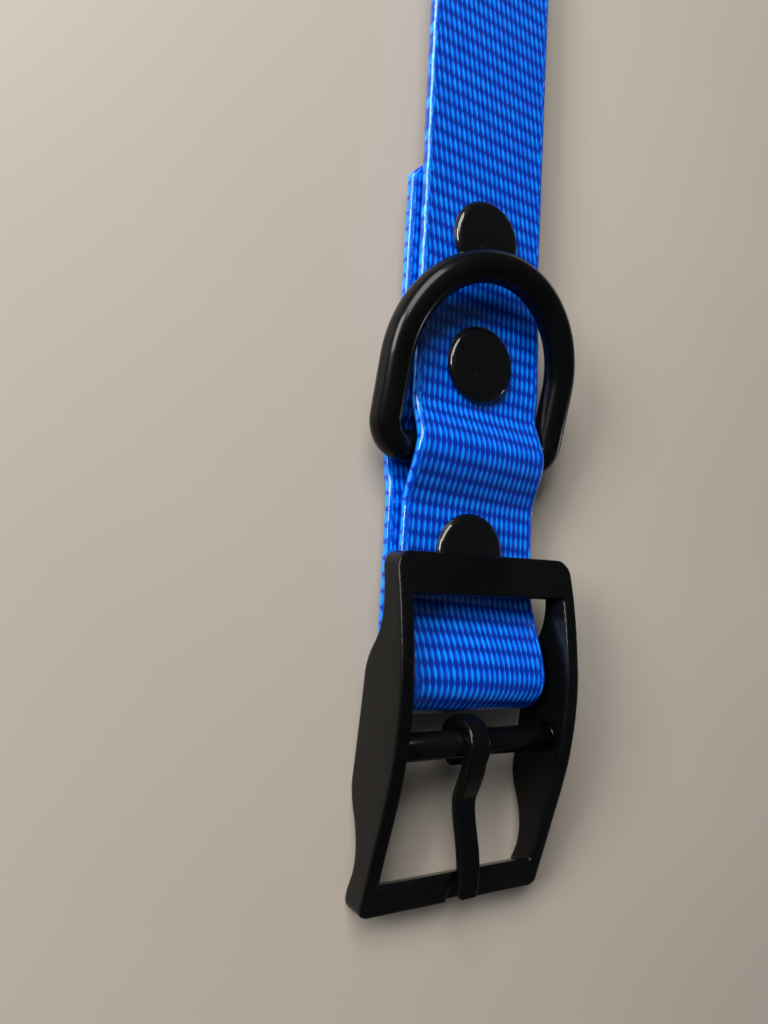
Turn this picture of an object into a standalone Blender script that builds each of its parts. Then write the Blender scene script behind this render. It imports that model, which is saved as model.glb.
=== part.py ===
"""Pet collar of coated webbing, lying open on a flat surface with its metal face up.

Metres, +Z up. X runs across the strap, Y runs along it towards the free end,
and Z is the height above the surface. The origin is half way along the collar.
"""

import math

import bmesh
import bpy
from mathutils import Matrix, Vector

MM = 0.001

# Clearances
GAP = 0.3 * MM
LAYER_GAP = 0.4 * MM
LIFT = 0.1 * MM

# Strap
STRAP_WIDTH = 25.4 * MM
STRAP_WALL = 1.9 * MM
STRAP_EDGE = 0.5 * MM
COLLAR_LENGTH = 520 * MM
STRAP_HEIGHT = 7.0 * MM
LIFT_OFF = 50 * MM
TOUCH_DOWN = 62 * MM
FACE_OFFSET = 0.4 * MM
LOW_FACE_OFFSET = 1.2 * MM
LOOP_FACE_OFFSET = 2.0 * MM
LOOP_BACK_OFFSET = -0.6 * MM
LOW_BACK_OFFSET = -1.8 * MM
BACK_OFFSET = -1.2 * MM
BACK_TAIL = 11.5 * MM
TAIL_CHAMFER = 2.6 * MM
LOOP_HEIGHT = 10.8 * MM
LOOP_REACH = 14.0 * MM
HOLE_COUNT = 7
HOLE_PITCH = 25 * MM
FIRST_HOLE = 60 * MM
HOLE_PLAY = 0.45 * MM

# Rivets
RIVET_STEP_1 = 21.9 * MM
RIVET_STEP_2 = 31.9 * MM
CAP_RADIUS = 6.65 * MM
CAP_HEIGHT = 1.8 * MM
CAP_RIM = 0.5 * MM
CAP_CROWN = 2.4
CAP_FOOT = 0.15 * MM
POST_RADIUS = 1.5 * MM

# D-ring
RING_WIRE = 2.7 * MM
RING_HALF_WIDTH = 16.9 * MM
RING_LEG = 13.6 * MM
RING_ARCH = 17.7 * MM
RING_CORNER = 4.3 * MM
RING_SHIFT = -0.1 * MM
RING_STEP = 15.2 * MM
RING_TILT = math.radians(13.8)

# Buckle
FRAME_LENGTH = 57.2 * MM
WINDOW_WIDTH = 30.7 * MM
RAIL_WALL = 2.6 * MM
RAIL_BULGE = 5.6 * MM
RAIL_EDGE = 0.5 * MM
FRAME_SHIFT = 1.45 * MM
KEEPER_STEP = 0.2 * MM
KEEPER_LENGTH = 6.6 * MM
KEEPER_WALL = 1.7 * MM
FRONT_LENGTH = 5.2 * MM
FRONT_DEPTH = 4.6 * MM
FRONT_UNDERCUT = 1.3 * MM
FRONT_HEIGHT = 4.9 * MM
FRONT_CHAMFER = 0.9 * MM
BAR_EDGE = 0.3 * MM
REAR_CORNER = 3.0 * MM
FRONT_CORNER = 1.6 * MM
NOTCH_DEPTH = 1.0 * MM
NOTCH_PLAY = 0.5 * MM
BAR_RADIUS = 2.2 * MM
BAR_SOCKET = 1.6 * MM
TONGUE_BAR_RISE = 3.2 * MM

# Tongue
TONGUE_WIDTH = 4.0 * MM
TONGUE_WALL = 2.1 * MM
TONGUE_EDGE = 0.6 * MM
TIP_SETBACK = 1.36 * MM
TONGUE_DROP = 2.4 * MM
TONGUE_SIDE = -1.9 * MM
TONGUE_SLANT = 3.1 * MM
TONGUE_NECK = 2.5 * MM
TONGUE_SWAY = 19.0 * MM
CURL_START = math.radians(336)
CURL_STOP = math.radians(62)

# Heights that follow from the stack of caps and layers
HALF_WALL = STRAP_WALL / 2
TABLE_MID = HALF_WALL
FLAT_MID = STRAP_HEIGHT - HALF_WALL
FLAT_BACK_MID = FLAT_MID - STRAP_WALL - LAYER_GAP
LOW_BACK_MID = LIFT + CAP_HEIGHT + GAP + HALF_WALL
LOW_MID = LOW_BACK_MID + STRAP_WALL + LAYER_GAP
RING_BACK_MID = LIFT + HALF_WALL
RING_Z = RING_BACK_MID + HALF_WALL + GAP + RING_WIRE
RING_MID = RING_Z + RING_WIRE + GAP + HALF_WALL
LOOP_BACK_MID = LIFT + HALF_WALL
LOOP_RADIUS = LOOP_HEIGHT / 2 - HALF_WALL
LOOP_Z = LOOP_BACK_MID + LOOP_RADIUS
KEEPER_FACE = LOW_MID + HALF_WALL + GAP + CAP_HEIGHT + GAP + KEEPER_WALL

# Places along the strap
TIP_Y = COLLAR_LENGTH / 2
FRAME_FRONT = TIP_Y - COLLAR_LENGTH
FRAME_REAR = FRAME_FRONT + FRAME_LENGTH
THIRD_RIVET = FRAME_REAR + KEEPER_STEP
SECOND_RIVET = THIRD_RIVET + RIVET_STEP_2
FIRST_RIVET = SECOND_RIVET + RIVET_STEP_1
RIVET_Y = (FIRST_RIVET, SECOND_RIVET, THIRD_RIVET)
RING_Y = SECOND_RIVET - RING_STEP
CAP_SEAT = CAP_RADIUS + GAP
LOOP_Y = THIRD_RIVET - CAP_SEAT - LOOP_REACH
TAIL_Y = FIRST_RIVET + BACK_TAIL
TOUCH_Y = FIRST_RIVET + LIFT_OFF + TOUCH_DOWN
TONGUE_HOLE = TONGUE_WIDTH / 2 + HOLE_PLAY
NOTCH_WIDTH = TONGUE_WIDTH + 2 * NOTCH_PLAY
TIP_X = FRAME_SHIFT + TONGUE_SIDE + TONGUE_SLANT

# Bars across the buckle
EYE_BORE = BAR_RADIUS + GAP
EYE_RADIUS = EYE_BORE + TONGUE_WALL
STRAP_BAR_Y = LOOP_Y - LOOP_RADIUS + HALF_WALL + GAP + BAR_RADIUS
STRAP_BAR_Z = LOOP_Z
TONGUE_BAR_Z = LOOP_Z + TONGUE_BAR_RISE
EYE_TO_LOOP = EYE_RADIUS + LOOP_RADIUS + HALF_WALL + GAP
TONGUE_BAR_Y = LOOP_Y - math.sqrt(EYE_TO_LOOP**2 - TONGUE_BAR_RISE**2)
TONGUE_REACH = TONGUE_BAR_Y - FRAME_FRONT - TIP_SETBACK

# Rows of the strap's rounded tip, as shares of a quarter turn
TIP_TURNS = (0.06, 0.27, 0.42, 0.56, 0.70, 0.85, 1.00)

# Crest of a rail, rear to front: share of the frame's length, share of the bulge over the chord
RAIL_CREST = (
    (0.00, 0.00),
    (0.11, 0.39),
    (0.22, 0.69),
    (0.34, 0.94),
    (0.46, 1.02),
    (0.58, 0.95),
    (0.68, 0.77),
    (0.78, 0.53),
    (0.89, 0.27),
    (1.00, 0.00),
)

# Back edge of a rail, front to rear: share of the frame's length, share of the rear height
RAIL_BACK = (
    (1.00, 0.22),
    (0.993, 0.08),
    (0.972, 0.01),
    (0.94, 0.05),
    (0.88, 0.20),
    (0.82, 0.235),
    (0.76, 0.17),
    (0.71, 0.06),
    (0.66, 0.01),
    (0.60, 0.05),
    (0.50, 0.12),
    (0.40, 0.19),
    (0.33, 0.235),
    (0.28, 0.36),
    (0.23, 0.56),
    (0.17, 0.66),
    (0.10, 0.655),
    (0.00, 0.57),
)

# Tongue beyond the eye: share of its reach, share of its drop below the bar's axis
TONGUE_BENDS = (
    (0.165, -0.74),
    (0.26, -0.06),
    (0.375, 0.76),
    (0.50, 1.00),
    (0.62, 0.92),
    (0.74, 0.76),
    (0.87, 0.68),
    (1.00, 0.86),
)

COLLECTION_NAME = "pet_collar"
CUTTER_NAME = "cutters"


def clear_scene():
    """Remove the scene's objects and make the two collections."""
    for obj in list(bpy.data.objects):
        bpy.data.objects.remove(obj, do_unlink=True)
    for name in (COLLECTION_NAME, CUTTER_NAME):
        collection = bpy.data.collections.get(name)
        if collection is None:
            collection = bpy.data.collections.new(name)
            bpy.context.scene.collection.children.link(collection)


def link(obj, collection_name=COLLECTION_NAME):
    """Keep an object in one named collection only."""
    for collection in list(obj.users_collection):
        collection.objects.unlink(obj)
    bpy.data.collections[collection_name].objects.link(obj)


def make_material(name, colour, roughness, metallic):
    """A plain Principled material."""
    material = bpy.data.materials.new(name)
    material.use_nodes = True
    shader = material.node_tree.nodes["Principled BSDF"]
    shader.inputs["Base Color"].default_value = (*colour, 1.0)
    shader.inputs["Roughness"].default_value = roughness
    shader.inputs["Metallic"].default_value = metallic
    return material


def smooth_step(share):
    """Ease from 0 to 1 with level ends."""
    return share * share * (3 - 2 * share)


def smooth_path(points, steps):
    """A smooth open curve through the points, with some steps to each span."""
    ends = [points[0] * 2 - points[1]] + list(points) + [points[-1] * 2 - points[-2]]
    path = []
    for first, start, stop, last in zip(ends, ends[1:], ends[2:], ends[3:]):
        for step in range(steps):
            share = step / steps
            path.append(
                0.5
                * (
                    2 * start
                    + (stop - first) * share
                    + (2 * first - 5 * start + 4 * stop - last) * share**2
                    + (3 * start - first - 3 * stop + last) * share**3
                )
            )
    path.append(points[-1].copy())
    return path


def mesh_from_object(source, name):
    """Turn a curve or a modified object into a plain mesh object, with its caps welded."""
    source.name = name + "_source"
    depsgraph = bpy.context.evaluated_depsgraph_get()
    mesh = bpy.data.meshes.new_from_object(source.evaluated_get(depsgraph))
    mesh.name = name
    shape = bmesh.new()
    shape.from_mesh(mesh)
    bmesh.ops.remove_doubles(shape, verts=shape.verts, dist=0.001 * MM)
    bmesh.ops.recalc_face_normals(shape, faces=shape.faces)
    shape.to_mesh(mesh)
    shape.free()
    obj = bpy.data.objects.new(name, mesh)
    obj.matrix_world = source.matrix_world.copy()
    bpy.data.collections[COLLECTION_NAME].objects.link(obj)
    bpy.data.objects.remove(source, do_unlink=True)
    return obj


def side_outline(name, outline, x_centre, width, edge):
    """A flat outline in the YZ plane, as wide as given across X, with rounded rims."""
    curve = bpy.data.curves.new(name, "CURVE")
    curve.dimensions = "2D"
    curve.fill_mode = "BOTH"
    curve.extrude = width / 2 - edge
    curve.bevel_depth = edge
    curve.bevel_resolution = 1
    curve.offset = -edge
    spline = curve.splines.new("POLY")
    spline.points.add(len(outline) - 1)
    for point, place in zip(spline.points, outline):
        point.co = (place.x, place.y, 0.0, 1.0)
    spline.use_cyclic_u = True
    source = bpy.data.objects.new(name + "_outline", curve)
    bpy.context.scene.collection.objects.link(source)
    turn = Matrix(((0, 0, 1, 0), (1, 0, 0, 0), (0, 1, 0, 0), (0, 0, 0, 1)))
    source.matrix_world = Matrix.Translation((x_centre, 0, 0)) @ turn
    bpy.context.view_layer.update()
    return mesh_from_object(source, name)


def cross_bar(name, centre, radius, length, sides=24):
    """A round bar along X."""
    bpy.ops.mesh.primitive_cylinder_add(
        vertices=sides,
        radius=radius,
        depth=length,
        location=centre,
        rotation=(0, math.pi / 2, 0),
    )
    bar = bpy.context.object
    bar.name = name
    link(bar)
    return bar


def post_cutter(name, x_place, y_place, radius, height):
    """An upright round cutter that stands through the strap."""
    bpy.ops.mesh.primitive_cylinder_add(
        vertices=20,
        radius=radius,
        depth=height * 3,
        location=(x_place, y_place, height / 2),
    )
    cutter = bpy.context.object
    cutter.name = name
    return hide_cutter(cutter)


def hide_cutter(cutter):
    """Mark an object as a cutter and move it to the cutters' collection."""
    link(cutter, CUTTER_NAME)
    cutter.hide_render = True
    cutter.display_type = "WIRE"
    return cutter


def cut(body, other, operation="DIFFERENCE"):
    """Add one exact Boolean to a body."""
    modifier = body.modifiers.new(other.name, "BOOLEAN")
    modifier.operation = operation
    modifier.solver = "EXACT"
    modifier.object = other
    hide_cutter(other)


def set_origin(obj, origin):
    """Put an object's origin on a point without moving its shape."""
    origin = Vector(origin)
    bpy.context.view_layer.update()
    shift = obj.matrix_world.inverted() @ origin
    obj.data.transform(Matrix.Translation(-shift))
    obj.matrix_world = obj.matrix_world @ Matrix.Translation(shift)


def finish(obj, material):
    """Give a piece its material and smooth shading with crisp edges."""
    obj.data.materials.clear()
    obj.data.materials.append(material)
    obj.data.shade_smooth()
    obj.data.set_sharp_from_angle(angle=math.radians(35))
    link(obj)


def free_rows():
    """Middle line of the strap's free end, tip first, as (y, z, x offset, half width)."""
    half = STRAP_WIDTH / 2
    rows = []
    for share in TIP_TURNS:
        turn = math.pi / 2 * share
        y_place = TIP_Y - half * (1 - math.cos(turn))
        rows.append((y_place, TABLE_MID, 0.0, half * math.sin(turn)))
    rows.append((TOUCH_Y + GAP, TABLE_MID, 0.0, half))
    return rows


def layer_rows(places):
    """Eased rows between places of (y, z, x offset, rows before the next place)."""
    rows = []
    for (y_a, z_a, x_a, steps), (y_b, z_b, x_b, _) in zip(places, places[1:]):
        for step in range(steps):
            share = step / steps
            eased = smooth_step(share)
            offset = x_a + (x_b - x_a) * eased
            height = z_a + (z_b - z_a) * eased
            rows.append((y_a + (y_b - y_a) * share, height, offset, STRAP_WIDTH / 2))
    return rows


def folded_rows():
    """Middle line of the strap from where it meets the surface to its tail.

    Each row is (y, z, x offset, half width). Each place in front and back is
    (y, z, x offset, rows before the next place).
    """
    half = STRAP_WIDTH / 2
    ring_start = SECOND_RIVET - CAP_SEAT
    low_start = THIRD_RIVET + CAP_SEAT
    low_stop = THIRD_RIVET - CAP_SEAT
    front = (
        (TOUCH_Y, TABLE_MID, 0.0, 12),
        (FIRST_RIVET + LIFT_OFF, FLAT_MID, 0.0, 1),
        (ring_start, FLAT_MID, FACE_OFFSET, 8),
        (RING_Y, RING_MID, (FACE_OFFSET + LOW_FACE_OFFSET) / 2, 8),
        (low_start, LOW_MID, LOW_FACE_OFFSET, 1),
        (low_stop, LOW_MID, LOW_FACE_OFFSET, 9),
        (LOOP_Y, LOOP_Z + LOOP_RADIUS, LOOP_FACE_OFFSET, 1),
    )
    back = (
        (LOOP_Y, LOOP_BACK_MID, LOOP_BACK_OFFSET, 7),
        (low_stop, LOW_BACK_MID, LOW_BACK_OFFSET, 1),
        (low_start, LOW_BACK_MID, LOW_BACK_OFFSET, 8),
        (RING_Y, RING_BACK_MID, (LOW_BACK_OFFSET + BACK_OFFSET) / 2, 8),
        (ring_start, FLAT_BACK_MID, BACK_OFFSET, 1),
        (TAIL_Y - TAIL_CHAMFER, FLAT_BACK_MID, BACK_OFFSET, 1),
        (TAIL_Y, FLAT_BACK_MID, BACK_OFFSET, 1),
    )
    rows = layer_rows(front)
    fold_steps = 14
    for step in range(fold_steps):
        share = step / fold_steps
        turn = math.pi * share
        y_place = LOOP_Y - LOOP_RADIUS * math.sin(turn)
        z_place = LOOP_Z + LOOP_RADIUS * math.cos(turn)
        ahead = (LOOP_BACK_OFFSET - LOOP_FACE_OFFSET) * smooth_step(share)
        rows.append((y_place, z_place, LOOP_FACE_OFFSET + ahead, half))
    rows += layer_rows(back)
    rows.append((TAIL_Y, FLAT_BACK_MID, BACK_OFFSET, half - TAIL_CHAMFER))
    return rows


def webbing(name, rows):
    """A stretch of webbing along its middle line, with its wall and rounded edges."""
    shape = bmesh.new()
    last = None
    for y_place, z_place, offset, half in rows:
        left = shape.verts.new((offset - half, y_place, z_place))
        right = shape.verts.new((offset + half, y_place, z_place))
        if last:
            shape.faces.new((last[0], last[1], right, left))
        last = (left, right)
    mesh = bpy.data.meshes.new(name)
    shape.to_mesh(mesh)
    shape.free()
    strap = bpy.data.objects.new(name, mesh)
    link(strap)
    solidify = strap.modifiers.new("wall", "SOLIDIFY")
    solidify.thickness = STRAP_WALL
    solidify.offset = 0
    solidify.use_even_offset = True
    bevel = strap.modifiers.new("edge", "BEVEL")
    bevel.width = STRAP_EDGE
    bevel.segments = 2
    bevel.limit_method = "ANGLE"
    bevel.angle_limit = math.radians(60)
    return strap


def build_strap(material):
    """The strap in two solids: the end folded round the strap bar, and the flat free end."""
    tall = LOOP_HEIGHT
    folded = webbing("strap_folded_end", folded_rows())
    for number, y_place in enumerate(RIVET_Y, 1):
        cut(folded, post_cutter(f"post_hole_{number}", 0, y_place, POST_RADIUS + GAP, tall))
    finish(folded, material)
    free = webbing("strap_free_end", free_rows())
    for number in range(HOLE_COUNT):
        y_place = TIP_Y - FIRST_HOLE - number * HOLE_PITCH
        cut(free, post_cutter(f"tongue_hole_{number + 1}", 0, y_place, TONGUE_HOLE, tall))
    finish(free, material)


def cap_profile(steps=7):
    """Outer line of a domed cap at +X, from its top centre down to its rim's foot."""
    profile = [Vector((0, 0, CAP_HEIGHT))]
    for step in range(1, steps + 1):
        share = step / steps
        rise = (CAP_HEIGHT - CAP_RIM) * (1 - share**CAP_CROWN)
        profile.append(Vector((CAP_RADIUS * share, 0, CAP_RIM + rise)))
    profile.append(Vector((CAP_RADIUS, 0, CAP_FOOT)))
    profile.append(Vector((CAP_RADIUS - CAP_FOOT, 0, 0)))
    return profile


def turned(name, profile, location, flip=False):
    """A turned solid about the Z axis from a profile at +X, top to bottom."""
    shape = bmesh.new()
    last = None
    for place in profile:
        vert = shape.verts.new(place)
        if last:
            shape.edges.new((last, vert))
        last = vert
    mesh = bpy.data.meshes.new(name)
    shape.to_mesh(mesh)
    shape.free()
    source = bpy.data.objects.new(name + "_profile", mesh)
    bpy.context.scene.collection.objects.link(source)
    screw = source.modifiers.new("turn", "SCREW")
    screw.steps = 32
    screw.render_steps = 32
    screw.use_merge_vertices = True
    screw.merge_threshold = 0.01 * MM
    bpy.context.view_layer.update()
    piece = mesh_from_object(source, name)
    if flip:
        piece.data.transform(Matrix.Rotation(math.pi, 4, "X"))
    piece.location = location
    return piece


def build_rivets(material):
    """Three rivets: a domed cap over the strap, and a back cap with its post below."""
    mids = ((FLAT_MID, FLAT_BACK_MID), (FLAT_MID, FLAT_BACK_MID), (LOW_MID, LOW_BACK_MID))
    for number, (y_place, (front, back)) in enumerate(zip(RIVET_Y, mids), 1):
        face = front + HALF_WALL + GAP
        profile = cap_profile() + [Vector((0, 0, 0))]
        cap = turned(f"rivet_cap_{number}", profile, (0, y_place, face))
        finish(cap, material)
        seat = back - HALF_WALL - GAP
        post = face - GAP - seat
        profile = cap_profile()
        profile.append(Vector((POST_RADIUS, 0, 0)))
        profile.append(Vector((POST_RADIUS, 0, -post)))
        profile.append(Vector((0, 0, -post)))
        rear = turned(f"rivet_back_{number}", profile, (0, y_place, seat), flip=True)
        finish(rear, material)


def ring_points():
    """Centre line of the D-ring in its own plane: bar along X at y 0, arch at +Y."""
    half = RING_HALF_WIDTH
    corner = RING_CORNER
    points = []
    corner_steps = 6
    for step in range(corner_steps + 1):
        turn = -math.pi / 2 + math.pi / 2 * step / corner_steps
        x_place = half - corner + corner * math.cos(turn)
        points.append(Vector((x_place, corner + corner * math.sin(turn), 0)))
    arch_steps = 26
    for step in range(arch_steps + 1):
        turn = math.pi * step / arch_steps
        arch = RING_LEG + RING_ARCH * math.sin(turn)
        points.append(Vector((half * math.cos(turn), arch, 0)))
    for step in range(corner_steps + 1):
        turn = math.pi + math.pi / 2 * step / corner_steps
        x_place = -half + corner + corner * math.cos(turn)
        points.append(Vector((x_place, corner + corner * math.sin(turn), 0)))
    return points


def build_ring(material):
    """The D-ring, leaning over the strap towards its free end."""
    points = ring_points()
    curve = bpy.data.curves.new("d_ring", "CURVE")
    curve.dimensions = "3D"
    curve.bevel_depth = RING_WIRE
    curve.bevel_resolution = 3
    spline = curve.splines.new("POLY")
    spline.points.add(len(points) - 1)
    for point, place in zip(spline.points, points):
        point.co = (*place, 1.0)
    spline.use_cyclic_u = True
    source = bpy.data.objects.new("d_ring_wire", curve)
    bpy.context.scene.collection.objects.link(source)
    source.location = (RING_SHIFT, RING_Y, RING_Z)
    source.rotation_euler = (RING_TILT, 0, 0)
    bpy.context.view_layer.update()
    ring = mesh_from_object(source, "d_ring")
    finish(ring, material)


def crest_height(share):
    """Height of a rail's crest at a share of the frame's length from its rear."""
    places = RAIL_CREST
    bulge = 0.0
    for (start, low), (stop, high) in zip(places, places[1:]):
        if start <= share <= stop:
            bulge = low + (high - low) * (share - start) / (stop - start)
    chord = KEEPER_FACE + (FRONT_HEIGHT - KEEPER_FACE) * share
    return chord + RAIL_BULGE * bulge


def rail_outline():
    """Side view of a rail as a closed outline of (y, z)."""
    crest = [
        Vector((FRAME_REAR - FRAME_LENGTH * share, crest_height(share)))
        for share, _ in RAIL_CREST
    ]
    back = [
        Vector((FRAME_REAR - FRAME_LENGTH * share, LIFT + KEEPER_FACE * height))
        for share, height in RAIL_BACK
    ]
    return smooth_path(crest, 3) + smooth_path(back, 3)


def keeper_outline():
    """Section of the keeper bar at the frame's rear, flush with the rails' crest."""
    stop = KEEPER_LENGTH / FRAME_LENGTH
    rear = Vector((FRAME_REAR, crest_height(0.0) - LIFT / 2))
    front = Vector((FRAME_REAR - KEEPER_LENGTH, crest_height(stop) - LIFT / 2))
    along = (front - rear).normalized()
    inward = Vector((-along.y, along.x)) * KEEPER_WALL
    if inward.y > 0:
        inward = -inward
    return [rear, front, front + inward, rear + inward]


def front_outline():
    """Section of the front bar: sloping face, chamfered upper edge, undercut window side."""
    start = 1 - FRONT_LENGTH / FRAME_LENGTH
    rear = Vector((FRAME_FRONT + FRONT_LENGTH, crest_height(start) - LIFT / 2))
    front = Vector((FRAME_FRONT, crest_height(1.0) - LIFT / 2))
    along = (front - rear).normalized()
    low = rear.y - FRONT_DEPTH
    return [
        rear + along * FRONT_CHAMFER / 2,
        front,
        Vector((front.x, low)),
        Vector((rear.x - FRONT_UNDERCUT, low)),
        Vector((rear.x, rear.y - FRONT_CHAMFER)),
    ]


def plan_prism():
    """Rounded outline of the frame seen from above, tall enough to trim it."""
    half = WINDOW_WIDTH / 2 + RAIL_WALL - LIFT / 2
    corners = (
        (half, FRAME_REAR, REAR_CORNER, 0),
        (-half, FRAME_REAR, REAR_CORNER, 1),
        (-half, FRAME_FRONT, FRONT_CORNER, 2),
        (half, FRAME_FRONT, FRONT_CORNER, 3),
    )
    outline = []
    corner_steps = 6
    for x_corner, y_corner, radius, quarter in corners:
        x_centre = x_corner - math.copysign(radius, x_corner)
        y_centre = y_corner + (radius if y_corner == FRAME_FRONT else -radius)
        for step in range(corner_steps + 1):
            turn = math.pi / 2 * (quarter + step / corner_steps)
            outline.append((x_centre + radius * math.cos(turn), y_centre + radius * math.sin(turn)))
    curve = bpy.data.curves.new("plan", "CURVE")
    curve.dimensions = "2D"
    curve.fill_mode = "BOTH"
    curve.extrude = KEEPER_FACE * 2
    spline = curve.splines.new("POLY")
    spline.points.add(len(outline) - 1)
    for point, (x_place, y_place) in zip(spline.points, outline):
        point.co = (x_place, y_place, 0.0, 1.0)
    spline.use_cyclic_u = True
    source = bpy.data.objects.new("plan_outline", curve)
    bpy.context.scene.collection.objects.link(source)
    source.location = (FRAME_SHIFT, 0, 0)
    bpy.context.view_layer.update()
    return mesh_from_object(source, "frame_plan")


def build_frame(material):
    """Cast frame: two deep rails, a keeper bar at the rear and a notched front bar."""
    reach = WINDOW_WIDTH / 2 + RAIL_WALL / 2
    outline = rail_outline()
    frame = side_outline("buckle_frame", outline, FRAME_SHIFT - reach, RAIL_WALL, RAIL_EDGE)
    cut(frame, side_outline("right_rail", outline, FRAME_SHIFT + reach, RAIL_WALL, RAIL_EDGE), "UNION")
    width = WINDOW_WIDTH + 2 * (RAIL_WALL - RAIL_EDGE)
    cut(frame, side_outline("keeper_bar", keeper_outline(), FRAME_SHIFT, width, BAR_EDGE), "UNION")
    cut(frame, side_outline("front_bar", front_outline(), FRAME_SHIFT, width, BAR_EDGE), "UNION")
    cut(frame, plan_prism(), "INTERSECT")
    socket = WINDOW_WIDTH + 2 * BAR_SOCKET
    for name, place in bar_places().items():
        cut(frame, cross_bar(name + "_socket", place, BAR_RADIUS + GAP, socket))
    rear, front = front_outline()[:2]
    middle = (rear + front) / 2
    lean = math.atan2(rear.y - front.y, rear.x - front.x)
    bpy.ops.mesh.primitive_cube_add(size=1, location=(TIP_X, middle.x, middle.y))
    notch = bpy.context.object
    notch.name = "tip_notch"
    notch.scale = (NOTCH_WIDTH, FRONT_LENGTH * 2, NOTCH_DEPTH * 2)
    bpy.ops.object.transform_apply(location=False, rotation=False, scale=True)
    notch.rotation_euler = (lean, 0, 0)
    cut(frame, notch)
    bpy.context.view_layer.update()
    frame = mesh_from_object(frame, "buckle_frame")
    set_origin(frame, (FRAME_SHIFT, STRAP_BAR_Y, STRAP_BAR_Z))
    finish(frame, material)
    return frame


def bar_places():
    """Centres of the two bars that cross the frame."""
    return {
        "strap_bar": (FRAME_SHIFT, STRAP_BAR_Y, STRAP_BAR_Z),
        "tongue_bar": (FRAME_SHIFT, TONGUE_BAR_Y, TONGUE_BAR_Z),
    }


def build_bars(material):
    """The strap bar inside the fold, and the bar that carries the tongue."""
    length = WINDOW_WIDTH + 2 * (BAR_SOCKET - GAP)
    bars = []
    for name, place in bar_places().items():
        bar = cross_bar(name, place, BAR_RADIUS, length)
        finish(bar, material)
        bars.append(bar)
    return bars


def tongue_outline():
    """Side view of the tongue as a closed outline of (y, z): eye, bends and tip."""
    middle = EYE_BORE + TONGUE_WALL / 2
    centre = Vector((TONGUE_BAR_Y, TONGUE_BAR_Z))
    line = []
    curl_steps = 20
    for step in range(curl_steps + 1):
        turn = CURL_START + (CURL_STOP - CURL_START) * step / curl_steps
        line.append(centre + Vector((-math.cos(turn), math.sin(turn))) * middle)
    bends = [line[-1]]
    for reach, drop in TONGUE_BENDS:
        bends.append(centre + Vector((-TONGUE_REACH * reach, -TONGUE_DROP * drop)))
    line += smooth_path(bends, 4)[1:]
    upper = []
    lower = []
    for index, place in enumerate(line):
        ahead = line[min(index + 1, len(line) - 1)]
        behind = line[max(index - 1, 0)]
        along = (ahead - behind).normalized()
        side = Vector((-along.y, along.x)) * TONGUE_WALL / 2
        upper.append(place + side)
        lower.append(place - side)
    return upper + lower[::-1]


def build_tongue(material):
    """The tongue, curled round its bar, with its tip in the front bar's notch."""
    outline = tongue_outline()
    x_centre = FRAME_SHIFT + TONGUE_SIDE
    tongue = side_outline("tongue", outline, x_centre, TONGUE_WIDTH, TONGUE_EDGE)
    bpy.context.view_layer.update()
    tongue.data.transform(tongue.matrix_world)
    tongue.matrix_world = Matrix.Identity(4)
    for vert in tongue.data.vertices:
        ahead = (TONGUE_BAR_Y - TONGUE_NECK - vert.co.y) / TONGUE_SWAY
        vert.co.x += TONGUE_SLANT * math.sin(math.pi / 2 * min(max(ahead, 0.0), 1.0))
    set_origin(tongue, (x_centre, TONGUE_BAR_Y, TONGUE_BAR_Z))
    finish(tongue, material)
    return tongue


def add_hinge(name, place):
    """An empty on a joint's axis."""
    hinge = bpy.data.objects.new(name, None)
    hinge.empty_display_size = 10 * MM
    hinge.location = place
    link(hinge)
    return hinge


def hang_on(child, parent):
    """Parent a piece without moving it."""
    bpy.context.view_layer.update()
    child.parent = parent
    child.matrix_parent_inverse = parent.matrix_world.inverted()


def main():
    clear_scene()
    webbing = make_material("coated_webbing", (0.0, 0.17, 0.78), 0.3, 0.0)
    gloss = make_material("gloss_black_rivets", (0.008, 0.008, 0.009), 0.12, 0.6)
    satin = make_material("satin_black_metal", (0.012, 0.012, 0.013), 0.42, 0.6)
    build_strap(webbing)
    build_rivets(gloss)
    build_ring(satin)
    buckle_hinge = add_hinge("buckle_hinge", bar_places()["strap_bar"])
    hang_on(build_frame(satin), buckle_hinge)
    for bar in build_bars(satin):
        hang_on(bar, buckle_hinge)
    tongue_hinge = add_hinge("tongue_hinge", bar_places()["tongue_bar"])
    hang_on(tongue_hinge, buckle_hinge)
    hang_on(build_tongue(satin), tongue_hinge)


main()
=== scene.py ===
import math

import bmesh
import bpy
import numpy as np
from mathutils import Matrix, Vector


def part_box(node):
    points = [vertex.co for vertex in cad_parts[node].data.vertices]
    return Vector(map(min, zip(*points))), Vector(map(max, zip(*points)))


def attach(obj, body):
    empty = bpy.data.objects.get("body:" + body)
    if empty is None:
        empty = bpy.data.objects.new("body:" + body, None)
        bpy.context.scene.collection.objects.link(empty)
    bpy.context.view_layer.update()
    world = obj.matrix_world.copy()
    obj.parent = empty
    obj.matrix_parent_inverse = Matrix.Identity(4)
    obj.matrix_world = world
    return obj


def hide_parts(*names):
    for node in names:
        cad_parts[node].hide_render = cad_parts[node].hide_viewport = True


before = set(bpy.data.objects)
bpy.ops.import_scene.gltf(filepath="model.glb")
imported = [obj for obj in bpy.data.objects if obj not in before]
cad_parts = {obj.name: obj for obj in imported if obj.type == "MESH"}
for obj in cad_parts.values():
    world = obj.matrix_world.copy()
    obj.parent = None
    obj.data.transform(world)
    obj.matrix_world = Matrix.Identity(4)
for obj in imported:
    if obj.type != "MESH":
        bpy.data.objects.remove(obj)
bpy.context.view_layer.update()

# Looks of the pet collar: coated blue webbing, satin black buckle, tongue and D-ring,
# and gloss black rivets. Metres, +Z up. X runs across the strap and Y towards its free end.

MM = 0.001

# Gaps between the pieces and under them, as in the solids
GAP = 0.3 * MM
LAYER_GAP = 0.4 * MM
LIFT = 0.1 * MM

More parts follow.
